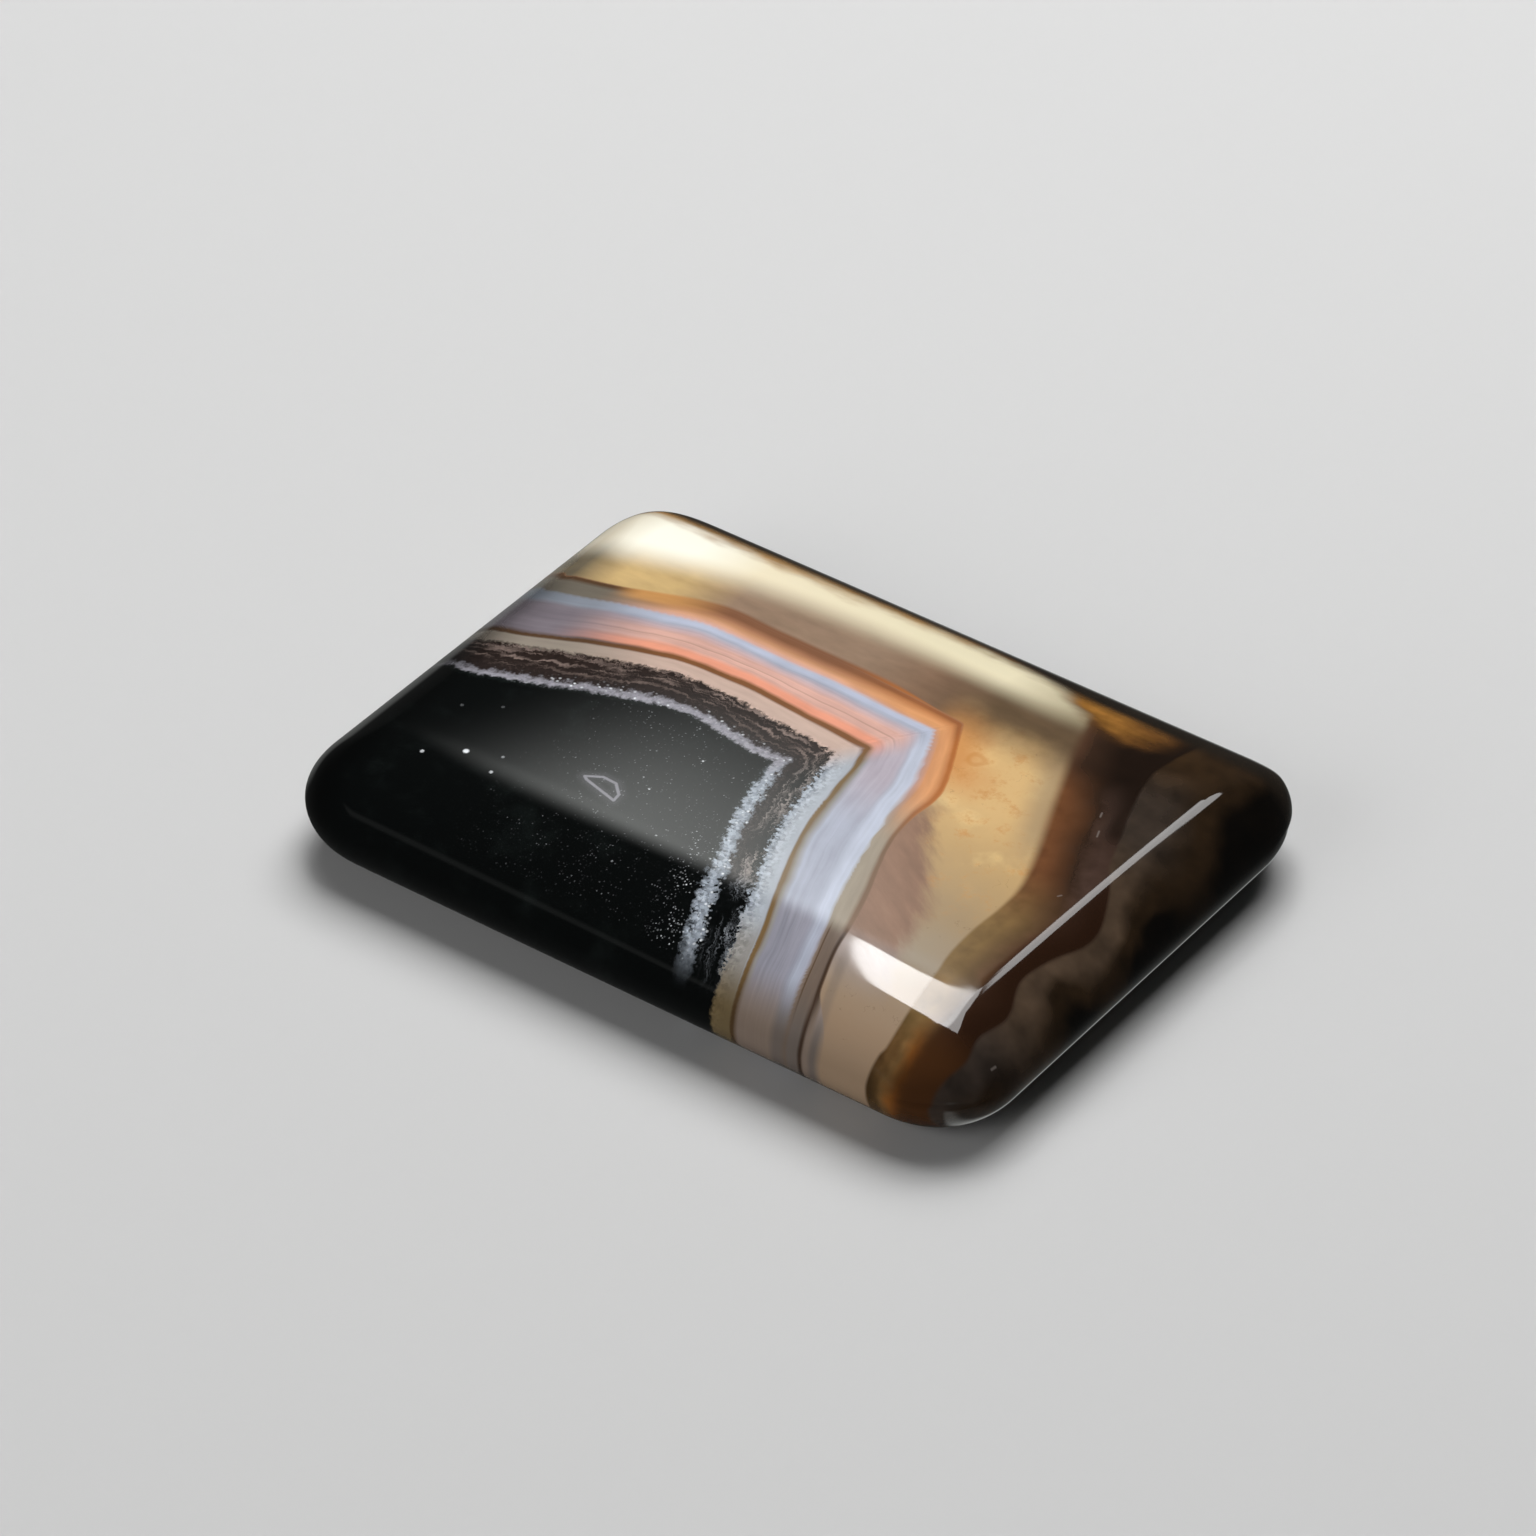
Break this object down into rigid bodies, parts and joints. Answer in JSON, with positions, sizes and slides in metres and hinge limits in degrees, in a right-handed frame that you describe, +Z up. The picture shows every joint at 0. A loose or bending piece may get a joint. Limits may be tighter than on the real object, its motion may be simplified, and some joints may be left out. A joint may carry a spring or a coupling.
{
  "type": "agate cabochon",
  "caption": "Polished banded agate cabochon, a rounded rectangle with a low domed top, rolled edges and a flat base for setting.",
  "frame": {"origin": "middle of the flat base", "axes": "+X along the stone, from the black end to the brown end, +Y across it towards the long side with the cream band, +Z up out of the domed top"},
  "size_m": [0.04, 0.0298, 0.0059],
  "materials": {
    "polished_agate": "polished"
  },
  "bodies": {
    "root": {"agate_cabochon": "polished_agate"}
  },
  "joints": []
}
